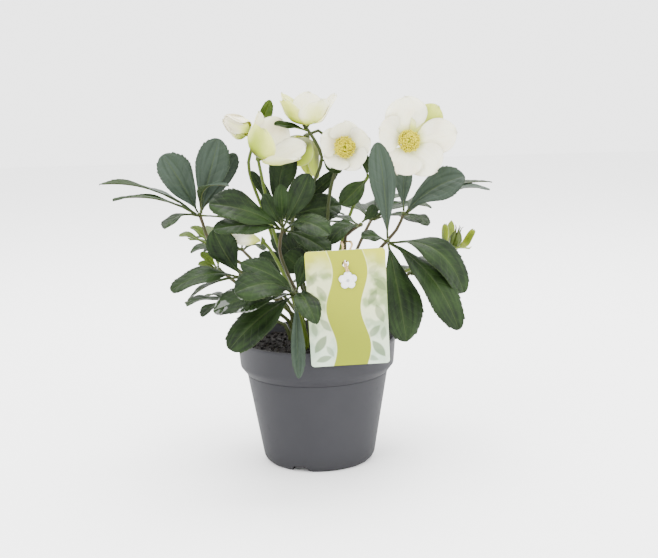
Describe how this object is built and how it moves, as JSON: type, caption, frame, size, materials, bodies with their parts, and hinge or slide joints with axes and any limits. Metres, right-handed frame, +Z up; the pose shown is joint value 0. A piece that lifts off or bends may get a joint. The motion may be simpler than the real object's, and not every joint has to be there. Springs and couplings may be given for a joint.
{
  "type": "potted hellebore plant",
  "caption": "Flowering hellebore with pedate toothed leaves and cream cup-shaped flowers, rooted in soil in a plain round nursery pot, with a picture tag hung on twine.",
  "frame": {"origin": "middle of the pot's flat base, on the surface that it stands on", "axes": "+Z up out of the pot; -Y towards the front, where the tag hangs; +X to the right seen from the front"},
  "size_m": [0.3242, 0.2402, 0.3002],
  "materials": {
    "pot": "matt moulded",
    "soil": "loose dark peat",
    "leaf": "leathery, satin gloss",
    "young_leaf": "soft satin",
    "stalk": "smooth satin",
    "petal": "soft satin",
    "stamen": "powdery",
    "card": "printed, semi-gloss",
    "twine": "twisted fibre",
    "charm": "smooth"
  },
  "bodies": {
    "root": {"pot": "pot", "soil": "soil", "leaf_left_high": "leaf", "leaf_left_small": "young_leaf", "leaf_left_young": "young_leaf", "leaf_left_middle": "leaf", "leaf_front_left": "leaf", "leaf_centre": "leaf", "leaf_centre_back": "leaf", "leaf_middle_low": "leaf", "leaf_right_low": "leaf", "leaf_right_high": "leaf", "leaf_behind_tag": "leaf", "leaf_back_middle": "leaf", "leaf_back_right": "leaf", "leaf_back_left": "leaf", "leaf_right_back_low": "leaf", "leaf_left_back_low": "leaf", "leaf_back_low": "leaf", "bloom_right_stalk": "stalk", "bloom_right_petals": "petal", "bloom_right_stamens": "stamen", "bloom_middle_stalk": "stalk", "bloom_middle_petals": "petal", "bloom_middle_stamens": "stamen", "bloom_top_stalk": "stalk", "bloom_top_petals": "petal", "bloom_top_stamens": "stamen", "bloom_left_stalk": "stalk", "bloom_left_petals": "petal", "bloom_left_stamens": "stamen", "bloom_far_left_stalk": "stalk", "bloom_far_left_petals": "petal", "bloom_far_left_stamens": "stamen", "bloom_hanging_stalk": "stalk", "bloom_hanging_petals": "petal", "bloom_hanging_stamens": "stamen", "bud_stalk": "stalk", "bud_petals": "petal", "seed_head": "young_leaf", "tag_card": "card", "tag_twine": "twine", "tag_charm": "charm"}
  },
  "joints": []
}
